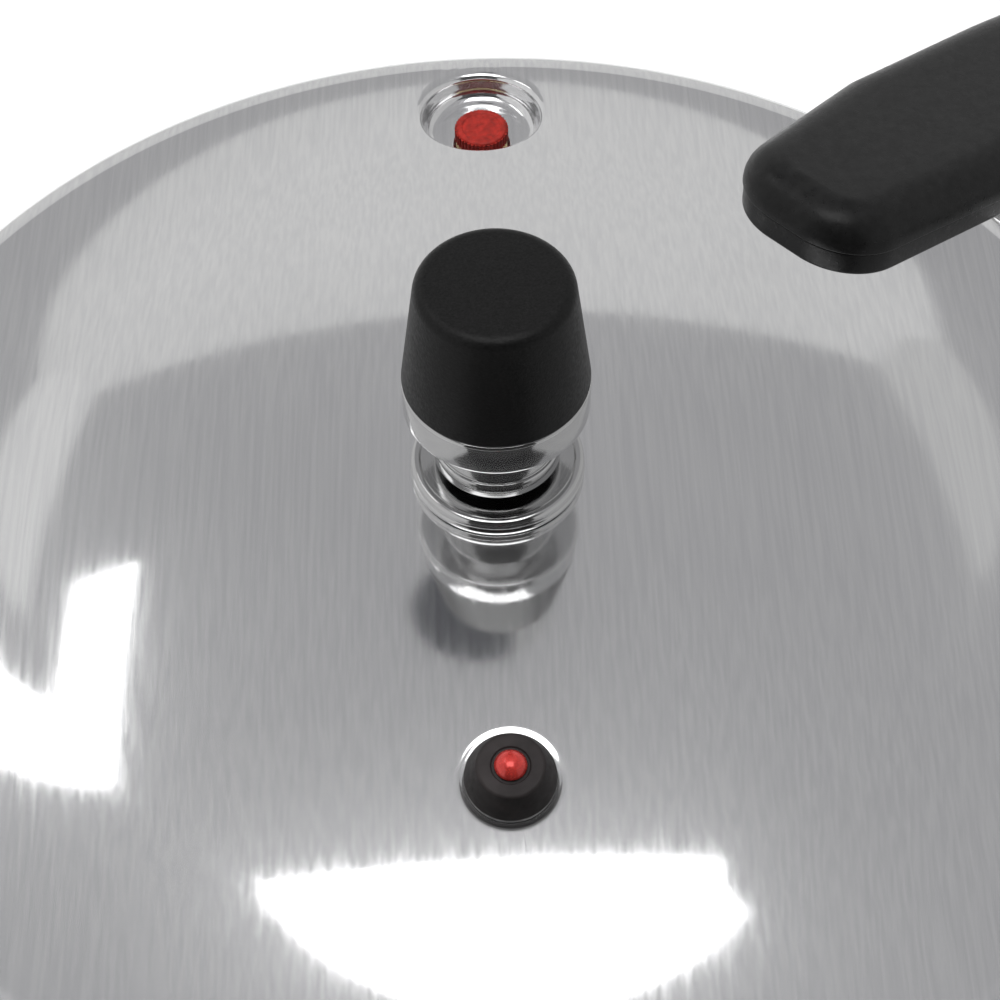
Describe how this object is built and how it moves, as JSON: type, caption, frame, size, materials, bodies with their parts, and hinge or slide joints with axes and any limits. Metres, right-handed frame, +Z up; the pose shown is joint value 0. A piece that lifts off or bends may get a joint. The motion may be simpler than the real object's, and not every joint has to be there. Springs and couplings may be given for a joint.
{
  "type": "pressure cooker",
  "caption": "Stovetop pressure cooker: domed lid turning under lugs on a round pot, weighted vent, rubber relief valve, red safety button and long handles.",
  "frame": {"origin": "centre of the pot's flat base", "axes": "+Z up along the pot's axis, +X along the pot's long handle; the lid's handle stands 30 degrees anticlockwise of +X while the lid is unlocked"},
  "size_m": [0.4095, 0.2582, 0.2024],
  "materials": {
    "polished_aluminium": "polished, fine brushing",
    "bracket_steel": "brushed",
    "rivet_aluminium": "satin",
    "black_phenolic": "semi-gloss moulded",
    "screw_steel": "bright zinc",
    "chrome_plate": "mirror",
    "nut_brass": "satin",
    "seal_silicone": "matte",
    "gasket_rubber": "matte",
    "cap_plastic": "matte moulded",
    "valve_rubber_black": "matte",
    "pin_red": "glossy anodised",
    "button_red": "satin moulded"
  },
  "bodies": {
    "pot": {"pot_body": "polished_aluminium", "pot_bracket": "bracket_steel", "pot_rivets": "rivet_aluminium", "pot_handle_upper": "black_phenolic", "pot_handle_lower": "black_phenolic", "pot_handle_screws": "screw_steel", "helper_bracket": "bracket_steel", "helper_rivets": "rivet_aluminium", "helper_handle": "black_phenolic", "helper_screw": "screw_steel"},
    "gasket": {"lid_gasket": "gasket_rubber"},
    "lid": {"lid_shell": "polished_aluminium", "lid_bracket": "bracket_steel", "lid_rivets": "rivet_aluminium", "lid_handle_upper": "black_phenolic", "lid_handle_lower": "black_phenolic", "lid_handle_screws": "screw_steel", "vent_pipe": "chrome_plate", "vent_washer": "seal_silicone", "vent_nut": "nut_brass", "valve_rubber": "valve_rubber_black", "safety_bush": "nut_brass", "safety_washer": "seal_silicone", "safety_nut": "nut_brass"},
    "weight": {"weight_body": "chrome_plate", "weight_cap": "cap_plastic", "weight_needle": "screw_steel"},
    "pin": {"valve_pin": "pin_red"},
    "button": {"safety_button": "button_red", "safety_clip": "screw_steel", "safety_spring": "screw_steel"}
  },
  "joints": [
    {"name": "lid_lift", "type": "slide", "parent": "pot", "child": "gasket", "axis": [0, 0, 1], "range_m": [0, 0.09]},
    {"name": "lid_turn", "type": "hinge", "parent": "gasket", "child": "lid", "pos_m": [0, 0, 0], "axis": [0, 0, 1], "range_deg": [-30, 0]},
    {"name": "weight_lift", "type": "slide", "parent": "lid", "child": "weight", "axis": [0, 0, 1], "range_m": [0, 0.028]},
    {"name": "pin_rise", "type": "slide", "parent": "lid", "child": "pin", "axis": [-0.0373, -0.1553, 0.9872], "range_m": [0, 0.002]},
    {"name": "button_rise", "type": "slide", "parent": "lid", "child": "button", "axis": [0, 0, 1], "range_m": [0, 0.0025], "stiffness_N_per_m": 300, "springref_m": -0.004, "deforming": ["safety_spring"]}
  ]
}
